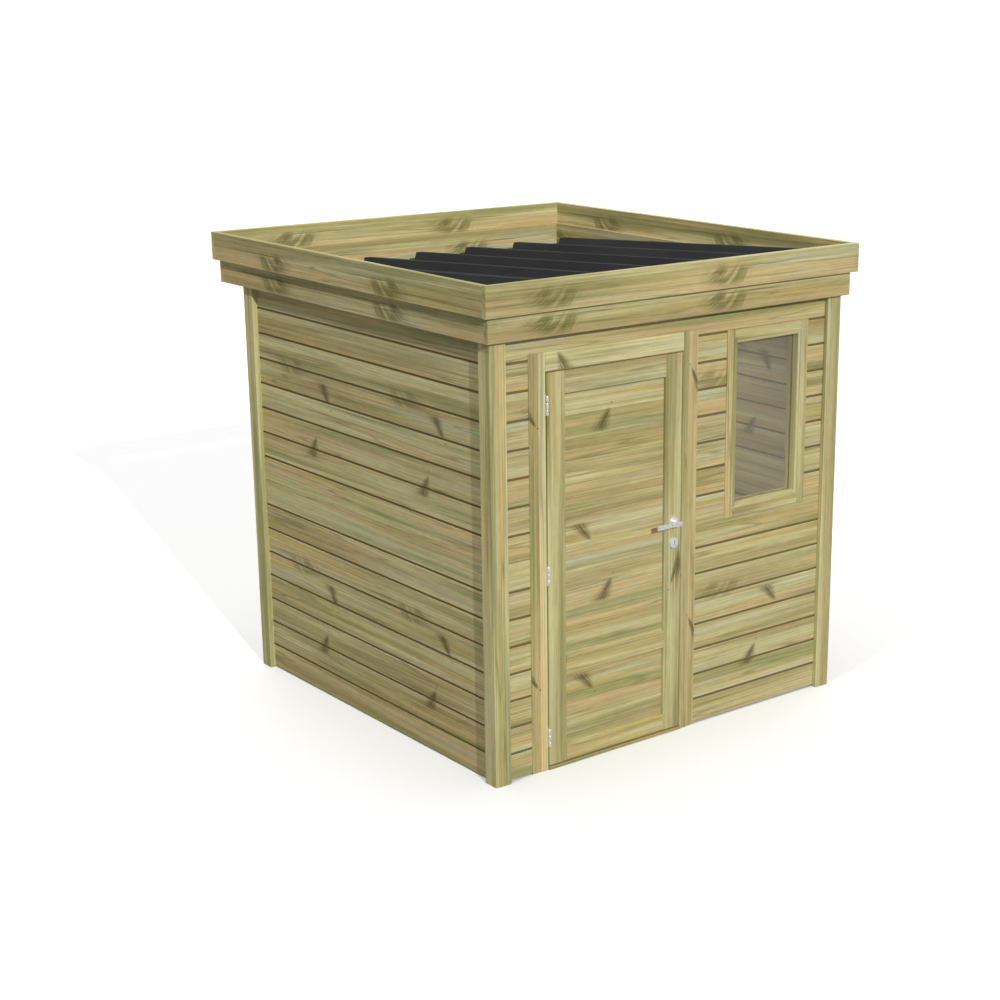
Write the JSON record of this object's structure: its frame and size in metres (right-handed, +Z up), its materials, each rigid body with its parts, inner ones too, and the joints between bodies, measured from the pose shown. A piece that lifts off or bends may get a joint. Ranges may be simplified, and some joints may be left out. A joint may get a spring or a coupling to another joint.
{
  "type": "garden shed",
  "caption": "Timber garden shed with horizontal board cladding, a panelled door, a fixed window and a ribbed steel roof behind a double fascia.",
  "frame": {"origin": "on the ground, under the middle of the roof outline", "axes": "-Y out of the front with the door, +X to the right of somebody who faces the door, +Z up"},
  "size_m": [2.312, 2.469, 2.366],
  "materials": {
    "cladding_timber": "pressure-treated pine boards, planed, pale yellow-green with knots",
    "fascia_timber": "pressure-treated pine planks, planed",
    "frame_timber": "pressure-treated pine posts and frames, planed",
    "door_timber": "pressure-treated pine, planed",
    "roof_steel": "matt anthracite coating",
    "hardware": "satin nickel and zinc",
    "glass": "clear float glass"
  },
  "bodies": {
    "shed": {"back_wall": "cladding_timber", "corner_posts": "frame_timber", "door_header": "frame_timber", "door_jamb_left": "frame_timber", "door_jamb_right": "frame_timber", "front_top_board": "cladding_timber", "front_wall_below_window": "cladding_timber", "front_wall_between": "cladding_timber", "front_wall_left": "cladding_timber", "front_wall_right": "cladding_timber", "hinge_frame_halves": "hardware", "left_wall": "cladding_timber", "lower_fascia_back": "fascia_timber", "lower_fascia_front": "fascia_timber", "lower_fascia_left": "fascia_timber", "lower_fascia_right": "fascia_timber", "purlins": "frame_timber", "right_wall": "cladding_timber", "roof_bearers": "frame_timber", "roof_sheet": "roof_steel", "threshold": "frame_timber", "upper_fascia_back": "fascia_timber", "upper_fascia_front": "fascia_timber", "upper_fascia_left": "fascia_timber", "upper_fascia_right": "fascia_timber", "window_beads": "frame_timber", "window_frame": "frame_timber", "window_glass": "glass"},
    "door": {"door_bottom_rail": "door_timber", "door_lower_panel": "door_timber", "door_mid_rail": "door_timber", "door_rosettes": "hardware", "door_stile_hinge": "door_timber", "door_stile_lock": "door_timber", "door_top_rail": "door_timber", "door_upper_panel": "door_timber", "hinge_door_halves": "hardware", "lock_cylinder": "hardware"},
    "lever": {"lever_inner": "hardware", "lever_outer": "hardware", "lever_spindle": "hardware"}
  },
  "joints": [
    {"name": "door_hinge", "type": "hinge", "parent": "shed", "child": "door", "pos_m": [-0.7725, -1.1645, 0.972], "axis": [0, 0, -1], "range_deg": [0, 110]},
    {"name": "lever_turn", "type": "hinge", "parent": "door", "child": "lever", "pos_m": [0.001, -1.1565, 1.099], "axis": [0, -1, 0], "range_deg": [0, 40], "stiffness_Nm_per_rad": 2, "springref_deg": -22.92}
  ]
}
